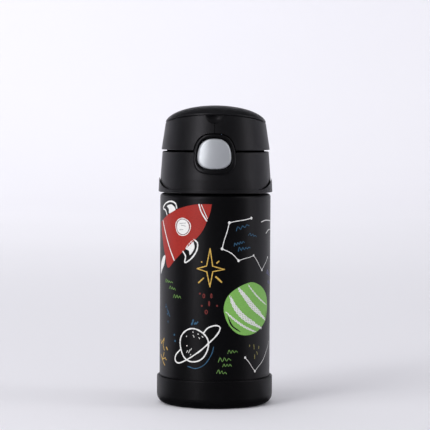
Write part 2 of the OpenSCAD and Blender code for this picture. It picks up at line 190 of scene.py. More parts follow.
def moulded_plastic(name, value, rough, blue=1.1, grain=0.00022, depth=0.000012, specular=0.36,
                    parting_shade=None, gap_shade=None):
    """Black moulded plastic with a fine spark-eroded grain and slight flow marks. It may have a mould seam
    in the front, between two heights: a small bumped groove with painted shade, darkened to near black
    and without specular reflection. It may also have painted shade in a gap: a band between two radii
    above a height, darkened to near black and without specular reflection."""
    g = Graph(name)
    flow = g.noise(0.018, 2.0)
    fine = g.noise(grain, 2.0)
    tone = g.mix(g.ramp(flow, 0.3, 0.7), shade(value * 0.88, blue), shade(value * 1.12, blue))
    speck = g.ramp(g.noise(grain * 2.5, 1.0), 0.35, 0.75)
    tone = g.mix(g.math("MULTIPLY", speck, 0.25), tone, shade(value * 1.7, blue))
    uneven = g.ramp(flow, 0.3, 0.7, -0.03, 0.03)
    gloss = g.math("ADD", uneven, g.ramp(fine, 0.3, 0.7, rough - 0.03, rough + 0.03))
    normal = g.bump(fine, depth)
    # Painted shade in the mould seam: its colour is darkened to near black and its specular reflection
    # removed, on top of a small bumped groove.
    if parting_shade:
        low_z, high_z = parting_shade
        x, y, z = g.axes()
        line = g.ramp(g.math("ABSOLUTE", x), 0.00012, 0.00024, 1.0, 0.0)
        line = g.math("MULTIPLY", line, g.math("LESS_THAN", y, 0.0))
        line = g.math("MULTIPLY", line, g.math("GREATER_THAN", z, low_z))
        line = g.math("MULTIPLY", line, g.math("LESS_THAN", z, high_z))
        normal = g.bump(line, 0.0001, below=normal)
        tone = g.mix(line, tone, shade(value * 0.15))
        specular = g.ramp(line, 0.0, 1.0, specular, 0.0)
    # Painted shade in the gap over the deck: between the two radii and above the height, the colour is
    # darkened to near black and the specular reflection removed.
    if gap_shade:
        inner, outer, height = gap_shade
        x, y, z = g.axes()
        reach = g.math("SQRT", g.math("ADD", g.math("MULTIPLY", x, x), g.math("MULTIPLY", y, y)))
        inside = g.math("MULTIPLY", g.math("LESS_THAN", reach, outer), g.math("GREATER_THAN", z, height))
        inside = g.math("MULTIPLY", inside, g.math("GREATER_THAN", reach, inner))
        tone = g.mix(inside, tone, shade(value * 0.1))
        specular = g.ramp(inside, 0.0, 1.0, specular, 0.0)
    return g.set(color=tone, rough=gloss, normal=normal, specular=specular, tint=SHEEN)


def coated_shell():
    """Matte black powder coat below the neck and bare brushed steel on the neck."""
    g = Graph("powder_coat")
    x, y, z = g.axes()
    orange_peel = g.noise(0.0007, 2.0)
    fine = g.noise(0.00016, 2.0)
    cloud = g.noise(0.03, 2.0)
    paint = g.mix(g.ramp(cloud, 0.3, 0.7), shade(0.0016, 1.15), shade(0.0026, 1.15))
    paint = g.mix(g.math("MULTIPLY", g.ramp(fine, 0.45, 0.8), 0.3), paint, shade(0.010, 1.1))
    brush = g.noise(0.004, 3.0, where=g.scaled(1.0, 1.0, 40.0))
    steel = g.mix(brush, shade(0.42), shade(0.62))
    bare = g.ramp(z, LID_FOOT_Z, LID_FOOT_Z + 0.0002)
    color = g.mix(bare, paint, steel)
    gloss = g.math("ADD", g.ramp(orange_peel, 0.3, 0.7, 0.36, 0.42), g.math("MULTIPLY", bare, -0.1))
    normal = g.bump(fine, 0.000006, below=g.bump(orange_peel, 0.00001))
    return g.set(color=color, rough=gloss, metal=bare, normal=normal, specular=0.3, tint=SHEEN)


def brushed_steel(name, bright=0.6, around=True):
    """Stainless steel with fine lines round its axis."""
    g = Graph(name)
    stretch = (1.0, 1.0, 45.0) if around else (40.0, 1.0, 1.0)
    lines = g.noise(0.004, 4.0, 0.7, where=g.scaled(*stretch))
    cloud = g.noise(0.02, 2.0)
    color = g.mix(lines, shade(bright * 0.8, 1.01), shade(bright * 1.1, 1.01))
    gloss = g.math("ADD", g.ramp(lines, 0.3, 0.7, 0.2, 0.3), g.ramp(cloud, 0.3, 0.7, 0.0, 0.05))
    return g.set(color=color, rough=gloss, metal=1.0, normal=g.bump(lines, 0.000006))


def spring_wire():
    """Drawn wire with faint die lines and a little dark oil."""
    g = Graph("spring_wire")
    lines = g.noise(0.0004, 2.0, where=g.scaled(1.0, 6.0, 6.0))
    oil = g.ramp(g.noise(0.0015, 2.0), 0.4, 0.65)
    color = g.mix(oil, shade(0.32), shade(0.58, 1.02))
    gloss = g.ramp(lines, 0.3, 0.7, 0.22, 0.34)
    return g.set(color=color, rough=gloss, metal=1.0, normal=g.bump(lines, 0.000008))


def silver_paint():
    """Satin silver paint with fine flake."""
    g = Graph("silver_paint")
    flake = g.noise(0.00012, 1.0)
    cloud = g.noise(0.006, 2.0)
    color = g.mix(g.ramp(flake, 0.3, 0.72), (0.56, 0.585, 0.62, 1), (0.69, 0.715, 0.75, 1))
    color = g.mix(g.math("MULTIPLY", cloud, 0.2), color, (0.65, 0.67, 0.7, 1))
    gloss = g.ramp(cloud, 0.3, 0.7, 0.38, 0.42)
    return g.set(color=color, rough=gloss, metal=0.55, normal=g.bump(flake, 0.000003))


def soft_silicone(name, color, density=0.5):
    """Translucent silicone: soft inside light, a matte skin and a faintly clouded tone."""
    g = Graph(name)
    skin = g.noise(0.0003, 2.0)
    cloud = g.noise(0.005, 2.0)
    dark = tuple(c * 0.9 for c in color[:3]) + (1.0,)
    tone = g.mix(g.ramp(cloud, 0.3, 0.7), dark, color)
    return g.set(color=tone, rough=g.ramp(skin, 0.3, 0.7, 0.38, 0.48), inside=density, inside_scale=0.004,
                 inside_radius=(1.0, 0.95, 0.9), normal=g.bump(skin, 0.000008))


def clear_straw():
    """Frosted clear plastic tube."""
    g = Graph("straw_plastic")
    streak = g.noise(0.001, 3.0, where=g.scaled(1.0, 1.0, 0.05))
    tone = g.mix(streak, (0.78, 0.81, 0.84, 1), (0.9, 0.92, 0.94, 1))
    return g.set(color=tone, rough=g.ramp(streak, 0.3, 0.7, 0.18, 0.3), inside=0.4, inside_scale=0.003,
                 normal=g.bump(streak, 0.00001))


def ink(name, color, chalk=0.25):
    """Screen-printed ink, a little uneven, with faint streaks where it is thin."""
    g = Graph(name)
    streak = g.noise(0.0012, 4.0, 0.65, where=g.scaled(1.0, 1.0, 2.2, turn=(0.0, 0.6, 0.0)))
    grain = g.noise(0.00025, 2.0)
    thin = tuple(c * (1.0 - chalk) for c in color) + (1.0,)
    full = tuple(color) + (1.0,)
    tone = g.mix(g.ramp(streak, 0.35, 0.6), thin, full)
    gloss = g.ramp(grain, 0.3, 0.7, 0.42, 0.52)
    return g.set(color=tone, rough=gloss, normal=g.bump(grain, 0.000006), specular=0.3)


def floor_paper():
    """Pale seamless paper."""
    g = Graph("floor_paper")
    fibre = g.noise(0.004, 4.0)
    cloud = g.noise(0.8, 1.0)
    tone = g.mix(g.ramp(cloud, 0.3, 0.7), (0.80, 0.795, 0.835, 1), (0.82, 0.815, 0.855, 1))
    return g.set(color=tone, rough=0.75, normal=g.bump(fibre, 0.00002, 0.4), specular=0.2)


# ---------------------------------------------------------------- mesh helpers

def add_mesh(name, verts, faces, material, smooth_angle=40.0):
    mesh = bpy.data.meshes.new(name)
    mesh.from_pydata([tuple(v) for v in verts], [], faces)
    mesh.validate()
    return add_object(name, mesh, material, smooth_angle)


def add_object(name, mesh, material, smooth_angle=40.0):
    for polygon in mesh.polygons:
        polygon.use_smooth = True
    mesh.set_sharp_from_angle(angle=math.radians(smooth_angle))
    mesh.materials.append(material)
    piece = bpy.data.objects.new(name, mesh)
    bpy.context.collection.objects.link(piece)
    return piece


def rings_mesh(rings, looped=False):
    """Vertices and faces of a skin through equal closed rings of points. Its first and last rings are
    filled, or joined to each other if it is looped."""
    n, count = len(rings[0]), len(rings)
    verts = [p for ring in rings for p in ring]
    faces = []
    for i in range(count if looped else count - 1):
        after = (i + 1) % count
        for j in range(n):
            k = (j + 1) % n
            faces.append((i * n + j, i * n + k, after * n + k, after * n + j))
    if not looped:
        faces.append(tuple(range(n - 1, -1, -1)))
        faces.append(tuple(range((count - 1) * n, count * n)))
    return verts, faces


def spline(points, step, closed=False):
    """Points about step apart on a Catmull-Rom curve through the given points."""
    points = [Vector(p) for p in points]
    n = len(points)
    spans = n if closed else n - 1
    out = []
    for i in range(spans):
        if closed:
            p0, p1, p2, p3 = (points[(i + k) % n] for k in (-1, 0, 1, 2))
        else:
            p1, p2 = points[i], points[i + 1]
            p0 = points[i - 1] if i > 0 else p1 * 2 - p2
            p3 = points[i + 2] if i + 2 < n else p2 * 2 - p1
        count = max(2, math.ceil((p2 - p1).length / step))
        for k in range(count):
            t = k / count
            out.append(
                0.5 * (2 * p1 + (p2 - p0) * t + (2 * p0 - 5 * p1 + 4 * p2 - p3) * t * t
                       + (3 * p1 - p0 - 3 * p2 + p3) * t ** 3)
            )
    if not closed:
        out.append(points[-1])
    return out


# ---------------------------------------------------------------- printed artwork
# Artwork is drawn flat in millimetres: u runs round the body from the middle of the front, to the
# right, and v is the height. It is then wrapped on the body as thin raised ink.

INK_GAP = 0.02
INK_THICKNESS = 0.03
LAYER_STEP = 0.035
SLICE = 1.2


class Art:
    """Flat shapes of one ink, gathered into one wrapped mesh."""

    def __init__(self, name, material, layer=0):
        self.name = name
        self.material = material
        self.layer = layer
        self.shapes = bmesh.new()

    def corner(self, point):
        return self.shapes.verts.new((point[0], point[1], 0.0))

    def fill(self, points, curved=True, step=0.7):
        """A solid shape inside a closed outline."""
        path = spline([(p[0], p[1]) for p in points], step, closed=True) if curved else points
        face = self.shapes.faces.new([self.corner(p) for p in path])
        face.normal_update()
        if face.normal.z < 0:
            face.normal_flip()

    def ellipse(self, u, v, ru, rv, turn=0.0, steps=48):
        self.fill([at(u, v, ru * math.cos(TAU * i / steps), rv * math.sin(TAU * i / steps), turn)
                   for i in range(steps)], curved=False)

    def ring(self, u, v, ru, rv, width, turn=0.0, start=0.0, end=360.0):
        """An elliptical line from the angle start to the angle end, a little uneven."""
        count = max(10, int((end - start) / 8))
        points = []
        for i in range(count + 1):
            a = math.radians(start + (end - start) * i / count)
            lift = 1.0 + 0.02 * math.sin(3 * a + 0.7) + 0.012 * math.sin(5 * a)
            points.append(at(u, v, ru * lift * math.cos(a), rv * lift * math.sin(a), turn))
        self.stroke(points, width)

    def stroke(self, points, width, curved=True, step=0.6, taper=0.0):
        """A drawn line with round ends. Its width varies a little, as a crayon's does."""
        path = spline([(p[0], p[1]) for p in points], step) if curved else [Vector(p[:2]) for p in points]
        left, right, halves, ways = [], [], [], []
        last = len(path) - 1
        for i, p in enumerate(path):
            way = (path[min(i + 1, last)] - path[max(i - 1, 0)]).normalized()
            side = Vector((-way.y, way.x))
            half = width / 2 * (1.0 + 0.13 * math.sin(1.7 * i + 3 * p.x) + 0.09 * math.sin(0.9 * i + p.y))
            half *= 1.0 - taper * (1.0 - math.sin(math.pi * i / last))
            left.append(self.corner(p + side * half))
            right.append(self.corner(p - side * half))
            halves.append(half)
            ways.append(way)
        for i in range(last):
            self.shapes.faces.new((right[i], right[i + 1], left[i + 1], left[i]))
        for end, sign, first, second in ((last, 1, right, left), (0, -1, left, right)):
            way = ways[end] * sign
            side = Vector((-way.y, way.x))
            arc = [self.corner(path[end] + (way * math.sin(a) - side * math.cos(a)) * halves[end])
                   for a in (math.pi * k / 6 for k in range(1, 6))]
            self.shapes.faces.new([first[end], *arc, second[end]])

    def chalk(self, points, width, strands):
        """A chalky band: thin rough strands side by side, of unequal length, that leave gaps."""
        path = spline([(p[0], p[1]) for p in points], 0.5)
        last = len(path) - 1
        for k in range(strands):
            share = (k + 0.5) / strands - 0.5
            first = int(last * abs(share) * (0.2 + 0.2 * math.sin(2.3 * k + width)))
            final = last - int(last * abs(share) * (0.3 + 0.3 * math.cos(3.1 * k + width)))
            strand = []
            for i in range(first, final + 1):
                way = (path[min(i + 1, last)] - path[max(i - 1, 0)]).normalized()
                swell = 0.35 + 0.65 * math.sin(math.pi * i / last)
                ragged = 0.16 * math.sin(1.3 * i + 2.1 * k) + 0.13 * math.sin(2.9 * i + k)
                strand.append(path[i] + Vector((-way.y, way.x)) * (share * width * swell + ragged))
            self.stroke(strand, width / strands * 0.84, curved=False, taper=0.25)

    def lines(self, points, width):
        """Hand-drawn straight lines from point to point."""
        for a, b in zip(points, points[1:]):
            a, b = Vector(a[:2]), Vector(b[:2])
            side = Vector((-(b - a).y, (b - a).x)).normalized() * 0.12
            self.stroke([a, a.lerp(b, 0.35) + side, a.lerp(b, 0.7) - side, b], width)

    def dashes(self, pairs, width):
        for a, b in pairs:
            self.stroke([a, Vector(a).lerp(Vector(b), 0.5) + Vector((0.08, 0.06)), b], width, step=0.4)

    def dots(self, spots, radius):
        for u, v in spots:
            self.ellipse(u, v, radius, radius * 1.1, steps=16)

    def scribble(self, start, end, height, peaks, width):
        """A run of small pointed arches from start to end, as a child writes waves."""
        start, end = Vector(start), Vector(end)
        side = Vector((-(end - start).y, (end - start).x)).normalized()
        points = [start]
        for k in range(peaks):
            lift = height * (1.0 - 0.13 * k + 0.1 * math.sin(5.0 * k + start.x))
            points.append(start.lerp(end, (k + 0.42) / peaks) + side * lift)
            points.append(start.lerp(end, (k + 0.62) / peaks) + side * lift * 0.86)
            points.append(start.lerp(end, (k + 0.96) / peaks) + side * height * (0.06 + 0.05 * k))
        self.stroke(points, width, step=0.45)

    def constellation(self, points, width, dot):
        self.lines(points, width)
        self.dots(points, dot)

    def finish(self):
        """Cuts the flat shapes into narrow slices, wraps them on the body and gives them thickness."""
        bm = self.shapes
        bmesh.ops.triangulate(bm, faces=[f for f in bm.faces if len(f.verts) > 4])
        low = min(v.co.x for v in bm.verts)
        high = max(v.co.x for v in bm.verts)
        cut = math.ceil(low / SLICE) * SLICE
        while cut < high:
            bmesh.ops.bisect_plane(bm, geom=bm.verts[:] + bm.edges[:] + bm.faces[:], dist=1e-4,
                                   plane_co=(cut, 0, 0), plane_no=(1, 0, 0))
            cut += SLICE
        bottom = bm.verts[:]
        bottom_faces = bm.faces[:]
        outline = [edge.link_loops[0] for edge in bm.edges if edge.is_boundary]
        rims = [(loop.vert, loop.link_loop_next.vert) for loop in outline]
        top_of = bmesh.ops.duplicate(bm, geom=bm.verts[:] + bm.edges[:] + bm.faces[:])["vert_map"]
        for a, b in rims:
            bm.faces.new((a, b, top_of[b], top_of[a]))
        bmesh.ops.reverse_faces(bm, faces=bottom_faces)
        inner = BODY_R + (INK_GAP + LAYER_STEP * self.layer) * MM
        for vert in bottom:
            u, v = vert.co.x, vert.co.y
            vert.co = on_body(u, v, inner)
            top_of[vert].co = on_body(u, v, inner + INK_THICKNESS * MM)
        mesh = bpy.data.meshes.new(self.name)
        bm.to_mesh(mesh)
        bm.free()
        piece = add_object(self.name, mesh, self.material, 30.0)
        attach(piece, "bottle")


def at(u, v, du, dv, turn=0.0):
    """The point (du, dv), turned by turn degrees and moved to (u, v)."""
    c, s = math.cos(math.radians(turn)), math.sin(math.radians(turn))
    return (u + du * c - dv * s, v + du * s + dv * c)


def on_body(u, v, radius):
    """Where the flat point (u, v), in millimetres, lies on the body, whose print faces the camera."""
    a = u * MM / BODY_R + CAMERA_AZIMUTH
    return Vector((radius * math.sin(a), -radius * math.cos(a), v * MM))


def draw_rocket(hull, outline, marks, sketch):
    """A fat rocket that climbs to the right, drawn along its axis from the middle of its base."""

    def local(points, side=1):
        return [at(-38.5, 96.5, x, side * y, 34.4) for x, y in points]

    hull.fill(local([
        (-3.5, -14), (4, -13.9), (12, -13), (21, -12), (30, -10), (37.5, -5.6), (41.5, -2.6), (44, 0),
        (44, 0.4), (39.5, 3.6), (34, 6.6), (24.5, 10), (14, 12.3), (5, 13.6), (2.6, 13.6), (-0.4, 4),
        (-2.4, -6),
    ]))
    for side in (1, -1):
        fin = [(23.6, 11), (24.2, 14), (21.2, 17.4), (15.6, 19.4), (10.8, 19), (13.2, 16.2), (13.3, 12.8)]
        outline.stroke(local(fin, side), 0.85)
        gleam = [(16.2, 17.2), (20.6, 15.6), (22.2, 13), (22, 10.8), (16, 12.2), (17, 14.6)]
        outline.fill(local(gleam, side))
    outline.fill([(-36.8, 90), (-40.5, 88.8), (-44.5, 84), (-45, 78.5), (-42, 81), (-38.4, 84.6)])
    marks.stroke(local([(6.5, 13.1), (5.6, 4), (4.8, -5), (4.4, -13.6)]), 0.8)
    marks.stroke(local([(37.8, 4.4), (36.5, -0.2), (36.3, -6.2)]), 0.75)
    marks.stroke(local([(39, 3.6), (38.2, -0.6), (37.4, -5.2)]), 0.4)
    u, v = local([(21.3, -0.6)])[0]
    marks.ellipse(u, v, 4.4, 4.4)
    marks.ring(u, v, 5.4, 5.1, 0.5)
    sketch.dashes([((u - 2.3, v + 1.8), (u + 2.1, v + 2.3)), ((u - 1.1, v + 0.9), (u + 2.3, v + 0.4)),
                   ((u - 2.5, v - 2.0), (u + 0.5, v - 1.6))], 0.28)
    sketch.ring(u, v, 4.7, 4.6, 0.28)


def draw_star(gold):
    """Outline of a long four-pointed star with a ray between each two points."""
    tips = [(-3, 95.6), (5.5, 83.3), (-3, 73), (-10.8, 83.6)]
    waists = [(-1.4, 85.2), (-1.3, 82), (-4.9, 81.8), (-5.0, 85.3)]
    for k in range(4):
        gold.stroke([tips[k], Vector(tips[k]).lerp(Vector(waists[k]), 0.6), waists[k]], 0.62)
        after = tips[(k + 1) % 4]
        gold.stroke([waists[k], Vector(waists[k]).lerp(Vector(after), 0.4), after], 0.62)
    gold.dots([(-8, 87.6)], 0.42)
    gold.dashes([((1.0, 87), (2.2, 88.1))], 0.75)
    gold.dashes([((0.6, 78.8), (3.8, 75.8))], 1.0)
    gold.dashes([((-9.8, 75.3), (-6.8, 78.1))], 0.75)


def draw_striped_planet(disc, bands, shadow):
    """A rounded planet with four chalky bands."""
    disc.fill([
        (20.5, 74.7), (25.5, 74.9), (33, 71.8), (39, 66.3), (40.6, 60.2), (39, 53), (33.2, 47.8),
        (26, 44.5), (19, 43.7), (13, 45.5), (8.4, 50.2), (6, 55.6), (5.3, 60.4), (6.4, 65), (9, 68.8),
        (14.2, 72.4),
    ])
    bands.chalk([(20.4, 74.5), (24.6, 69.9), (31, 64.7), (39.4, 60.2)], 1.0, 2)
    bands.chalk([(14.2, 72.0), (19, 66.6), (25.6, 59.8), (37.8, 51.8)], 3.3, 4)
    bands.chalk([(8.8, 67.6), (12.6, 60.2), (19.8, 53.3), (32.9, 47.1)], 3.1, 4)
    bands.chalk([(6.2, 58.3), (11.5, 53.6), (19, 48.6), (28.5, 44.7)], 1.3, 2)
    shadow.stroke([(7.8, 55.4), (10.4, 49.8), (15.8, 45.9)], 1.0, taper=0.7)
    shadow.stroke([(38.9, 57), (38.6, 54), (37.6, 51.6)], 0.5, taper=0.7)


def draw_ringed_planet(outline, sky):
    """Outline of a planet with a tilted ring, small craters and a shadow line."""
    outline.ring(-13, 38, 9.2, 9.9, 0.8)
    outline.stroke([
        (-6.6, 45.6), (-3.9, 48.6), (0.7, 50), (3.2, 48.5), (1.1, 44.2), (-3.8, 39.2), (-9.2, 34.4),
        (-16.7, 29.4), (-22.7, 26.8), (-25.8, 27.8), (-25.6, 31.1), (-22.2, 34.6),
    ], 0.8)
    outline.dots([(-17.5, 43), (-13.2, 45.8), (-10, 44.7), (-17.2, 37.4), (-14.7, 32.3)], 0.32)
    outline.dashes([
        ((-13.2, 44), (-12.5, 42.8)), ((-9.6, 42.8), (-9, 41.9)), ((-7.6, 43.5), (-7, 42.8)),
        ((-17.5, 33.4), (-16.7, 34.6)), ((-16, 33.4), (-15.1, 35.2)), ((-14.6, 35), (-14.2, 36)),
    ], 0.36)
    sky.stroke([(-0.6, 37.3), (-1.8, 33), (-5.7, 27), (-11.2, 24.2), (-16.6, 25.2)], 0.5)


def draw_crescent(gold, u, v):
    """A crescent moon: most of a circle, and back along a smaller one."""
    outer = [at(u, v, 10 * math.cos(a), 10 * math.sin(a), -30)
             for a in (math.radians(50 + 260 * i / 30) for i in range(31))]
    inner = [at(u, v, 3 + 8 * math.cos(a), 8.4 * math.sin(a), -30)
             for a in (math.radians(305 - 250 * i / 26) for i in range(2, 25))]
    gold.fill(outer + inner, curved=False)


def draw_little_planet(red, white, marks, u, v):
    """A small round planet with three bands and a ring that passes behind it."""
    radius, band_step = 9, 4.4
    red.ellipse(u, v, radius, 8.6)
    for k in (-1, 0, 1):
        reach = math.sqrt(radius ** 2 - (k * band_step) ** 2) * 0.9
        marks.stroke([at(u, v, t * reach, k * band_step + 1 - t * t, -20) for t in (-1, -0.4, 0.4, 1)], 1.0)
    white.ring(u, v, 15, 3.4, 0.65, turn=-20, start=-205, end=25)


def draw_back(red, white, marks, gold, leaf, sky, mauve):
    """More of the same kinds of motif on the side that faces away."""
    draw_crescent(gold, 76, 100)
    draw_little_planet(red, white, marks, -72, 62)
    sky.ellipse(93, 52, 6, 6)
    white.ring(93, 52, 8.4, 8.2, 0.55, start=20, end=330)
    for k in range(3):
        left, low = 2 * k, 3 * k
        gold.stroke([(-88 - left, 104 - low), (-80 - left, 100 - low), (-72 - left, 98.5 - low)], 0.6)
    gold.dots([(-70, 95.5)], 2.2)
    white.constellation([(62, 84), (72, 78), (84, 82), (90, 72), (78, 66)], 0.42, 0.7)
    white.constellation([(-60, 108), (-68, 116), (-82, 112), (-94, 117)], 0.42, 0.7)
    for u, v in ((70, 30), (66, 25.5), (-64, 38), (-60, 33.5), (-92, 80)):
        leaf.scribble((u - 4, v), (u + 4, v + 0.6), 1.9, 3, 0.42)
    for u, v in ((58, 52), (56, 48), (-98, 40), (-86, 44)):
        mauve.scribble((u - 4, v), (u + 4, v + 1), 1.8, 3, 0.42)
    for u, v in ((88, 110), (66, 112), (92, 92), (84, 32), (-84, 28)):
        gold.dashes([((u - 2.2, v), (u + 2.2, v)), ((u, v - 3), (u, v + 3))], 0.5)


# Each ink's colour and how much of it is lost where it is thin.
INKS = {
    "white": ((0.8, 0.8, 0.78), 0.12),
    "red": ((0.37, 0.02, 0.013), 0.2),
    "rust": ((0.2, 0.03, 0.026), 0.4),
    "yellow": ((0.66, 0.42, 0.085), 0.25),
    "olive": ((0.3, 0.27, 0.08), 0.4),
    "green": ((0.215, 0.49, 0.1), 0.14),
    "leaf": ((0.16, 0.33, 0.08), 0.4),
    "night": ((0.012, 0.016, 0.01), 0.3),
    "blue": ((0.035, 0.12, 0.22), 0.45),
    "lavender": ((0.16, 0.16, 0.32), 0.4),
    "grey": ((0.2, 0.21, 0.23), 0.2),
}


def draw_dotted_lines(white):
    """The dotted figures beside the rocket and at the lower right, and two curved marks."""
    white.lines([(23.2, 113.3), (8.4, 110.9), (4.1, 95.5)], 0.5)
    white.stroke([(4.1, 95.5), (10, 92.6), (14.3, 88.3)], 0.5)
    white.lines([(14.3, 88.3), (25.2, 91), (33.2, 81.8), (41, 89)], 0.36)
    white.dots([(23.2, 113.3), (8.4, 110.9), (4.1, 95.5), (14.3, 88.3)], 0.8)
    white.dots([(25.2, 91), (33.2, 81.8), (41, 89)], 0.6)
    white.stroke([(32.3, 110.7), (37.8, 111.5), (47.3, 110.7)], 0.55)
    white.stroke([(38.3, 103.7), (42, 105.4), (47.6, 105.5)], 0.55)
    white.lines([(19.2, 30.4), (26.9, 21.7), (36.2, 28.6), (45, 38)], 0.34)
    white.dots([(19.2, 30.4), (26.9, 21.7)], 0.7)


def draw_waves(leaf, sky, mauve):
    """Runs of small waves in three colours."""
    sky.scribble((12.8, 106), (21.7, 108.6), 2.0, 3, 0.42)
    sky.scribble((21, 103.2), (27.5, 101.8), 1.3, 3, 0.36)
    sky.scribble((11.4, 97), (18.4, 98.6), 1.8, 4, 0.42)
    sky.scribble((14.1, 93.8), (22.6, 95.2), 2.0, 4, 0.42)
    mauve.scribble((39.2, 79.4), (47, 76.5), 2.4, 4, 0.5)
    mauve.scribble((41.3, 73.7), (47, 71.6), 2.0, 3, 0.5)
    leaf.scribble((-36.6, 74), (-28.6, 73.8), 1.9, 4, 0.38)
    leaf.scribble((-31.9, 70.6), (-26.1, 69.8), 1.8, 3, 0.38)
    leaf.scribble((-28, 65.4), (-21.6, 65), 2.0, 3, 0.38)
    leaf.scribble((7.8, 33.2), (14.1, 33.6), 1.8, 3, 0.36)
    leaf.scribble((2.2, 28.2), (9.9, 28.8), 2.3, 3, 0.4)
    leaf.scribble((4.8, 25.4), (10.2, 25.4), 1.8, 3, 0.36)
    leaf.scribble((1.2, 21.6), (7.2, 20.8), 2.0, 3, 0.38)


def draw_drops(rust, sky, gold, olive):
    """Drops under the star, and small dashes and dots round the planets."""
    rust.dots([(-9, 68.8), (-7.8, 61.6), (1.3, 61.7)], 0.55)
    rust.ring(-6.6, 67.5, 0.55, 1.1, 0.55)
    rust.ring(-2.1, 67.6, 0.35, 1.2, 0.55)
    rust.ring(-3.4, 63, 0.3, 1.3, 0.55)
    rust.ring(-5.1, 58, 0.7, 1.1, 0.55)
    sky.dashes([
        ((-35.5, 61), (-36, 58.8)), ((-34.3, 58.3), (-33, 55.6)), ((-33.2, 57.3), (-31.2, 53.9)),
        ((-33.3, 51), (-33, 50)), ((-34.9, 59.6), (-34.4, 58.8)), ((-34.4, 55.4), (-32.9, 54.6)),
    ], 0.45)
    sky.dots([(-26.9, 43.3), (-26.2, 39.6)], 0.6)
    sky.dashes([((-14, 50.4), (-13.1, 53))], 1.0)
    sky.dashes([((-12.3, 50.6), (-11.6, 51.6)), ((-11.4, 50.7), (-10.2, 51.9))], 0.75)
    gold.lines([(-44.5, 38.6), (-42.4, 36.4), (-38, 40.2), (-39.6, 35.5), (-37.6, 33)], 0.6)
    gold.lines([(-38, 31.6), (-40.5, 27), (-36.6, 28.6), (-35, 27.4)], 0.55)
    gold.lines([(-44, 29.8), (-37, 24)], 0.6)
    gold.dashes([((-34.9, 34.9), (-33.8, 33.8))], 0.95)
    olive.dashes([
        ((22.5, 37.8), (22.3, 36.8)), ((25.8, 37.6), (26.1, 34.9)), ((30.4, 36.4), (30.2, 35)),
        ((28.3, 33.3), (29.1, 31.6)), ((26.5, 31.5), (26.6, 29.2)),
    ], 0.5)


def make_artwork():
    inks = {name: ink("ink_" + name, color, chalk) for name, (color, chalk) in INKS.items()}
    red = Art("art_red", inks["red"])
    rust = Art("art_rust", inks["rust"])
    white = Art("art_white", inks["white"])
    marks = Art("art_white_marks", inks["white"], layer=1)
    sketch = Art("art_grey_marks", inks["grey"], layer=2)
    gold = Art("art_yellow", inks["yellow"])
    olive = Art("art_olive", inks["olive"])
    green = Art("art_green", inks["green"])
    night = Art("art_dark", inks["night"], layer=1)
    leaf = Art("art_leaf", inks["leaf"])
    sky = Art("art_blue", inks["blue"])
    mauve = Art("art_lavender", inks["lavender"])
    draw_rocket(red, white, marks, sketch)
    draw_star(gold)
    draw_striped_planet(green, marks, night)
    draw_ringed_planet(white, sky)
    draw_dotted_lines(white)
    draw_waves(leaf, sky, mauve)
    draw_drops(rust, sky, gold, olive)
    draw_back(red, white, marks, gold, leaf, sky, mauve)
    for art in (red, rust, white, marks, sketch, gold, olive, green, night, leaf, sky, mauve):
        art.finish()


# ---------------------------------------------------------------- visible pieces

def egg(width, height, power=2.8, steps=96):
    """Outline of the button: a rounded egg, wider below its middle, as (x, z) about its centre."""
    points = []
    for i in range(steps):
        a = TAU * i / steps
        x = math.copysign(abs(math.cos(a)) ** (2 / power), math.cos(a))
        z = math.copysign(abs(math.sin(a)) ** (2 / power), math.sin(a))
        points.append((width / 2 * x * (1 - 0.12 * z), height / 2 * z))
    return points


# The lid's radius at its foot, the height from which it tapers, and how much it tapers per unit of height.
LID_FLANK = (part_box("lid_collar")[1][0], 0.136, 0.0736)


def flank_y(x, z, lift):
    """Y of the lid's front surface at (x, z), raised by lift."""
    foot_r, foot_z, taper = LID_FLANK
    r = foot_r + lift - taper * (z - foot_z)
    return -math.sqrt(max(r * r - x * x, 0.0))


# How far the button's spring pegs, which its visible shell leaves out, stand behind its skirt.
BUTTON_PEG = 0.00105
# How much narrower and lower the visible button is than its CAD node.
BUTTON_NARROWER = 0.0009
BUTTON_LOWER = 0.0006
# Its wall, the radius of its rounded edge, how far it stands out of the lid, and the rise of its middle.
BUTTON_WALL = 0.0014
BUTTON_EDGE = 0.0011
BUTTON_FRONT = 0.0006
BUTTON_CROWN = 0.00035


def make_button(material):
    """The button: a satin shell, hollow behind, with a softly domed face and rounded edges."""
    low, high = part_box("button_cap")
    width, height = high[0] - low[0] - BUTTON_NARROWER, high[2] - low[2] - BUTTON_LOWER
    centre_z = low[2] + height / 2
    outline = egg(width, height, power=2.6)
    back = high[1] - BUTTON_PEG

    def inset_by(distance):
        s, t = 1 - distance / (width / 2), 1 - distance / (height / 2)
        return [(x * s, centre_z + z * t) for x, z in outline]

    def on_front(shape, lift, drop=0.0):
        return [(x, min(flank_y(x, z, lift) + drop, back - 0.0001), z) for x, z in shape]

    hollow, rim = inset_by(BUTTON_WALL), inset_by(BUTTON_EDGE)
    rings = [on_front(hollow, BUTTON_FRONT - BUTTON_WALL)]
    rings.append([(x, back, z) for x, z in hollow])
    rings.append([(x, back, z) for x, z in inset_by(0.0)])
    edge_steps, face_steps = 6, 14
    for k in range(edge_steps + 1):
        a = math.pi / 2 * k / edge_steps
        shape = inset_by(BUTTON_EDGE * (1 - math.cos(a)))
        rings.append(on_front(shape, BUTTON_FRONT, BUTTON_EDGE * (1 - math.sin(a))))
    for k in range(1, face_steps):
        share = 1 - k / face_steps
        shape = [(x * share, centre_z + (z - centre_z) * share) for x, z in rim]
        rings.append(on_front(shape, BUTTON_FRONT + BUTTON_CROWN * (1 - share ** 2)))
    verts, faces = rings_mesh(rings)
    piece = add_mesh("button_face", verts, faces, material, 50.0)
    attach(piece, "button")
    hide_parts("button_cap")


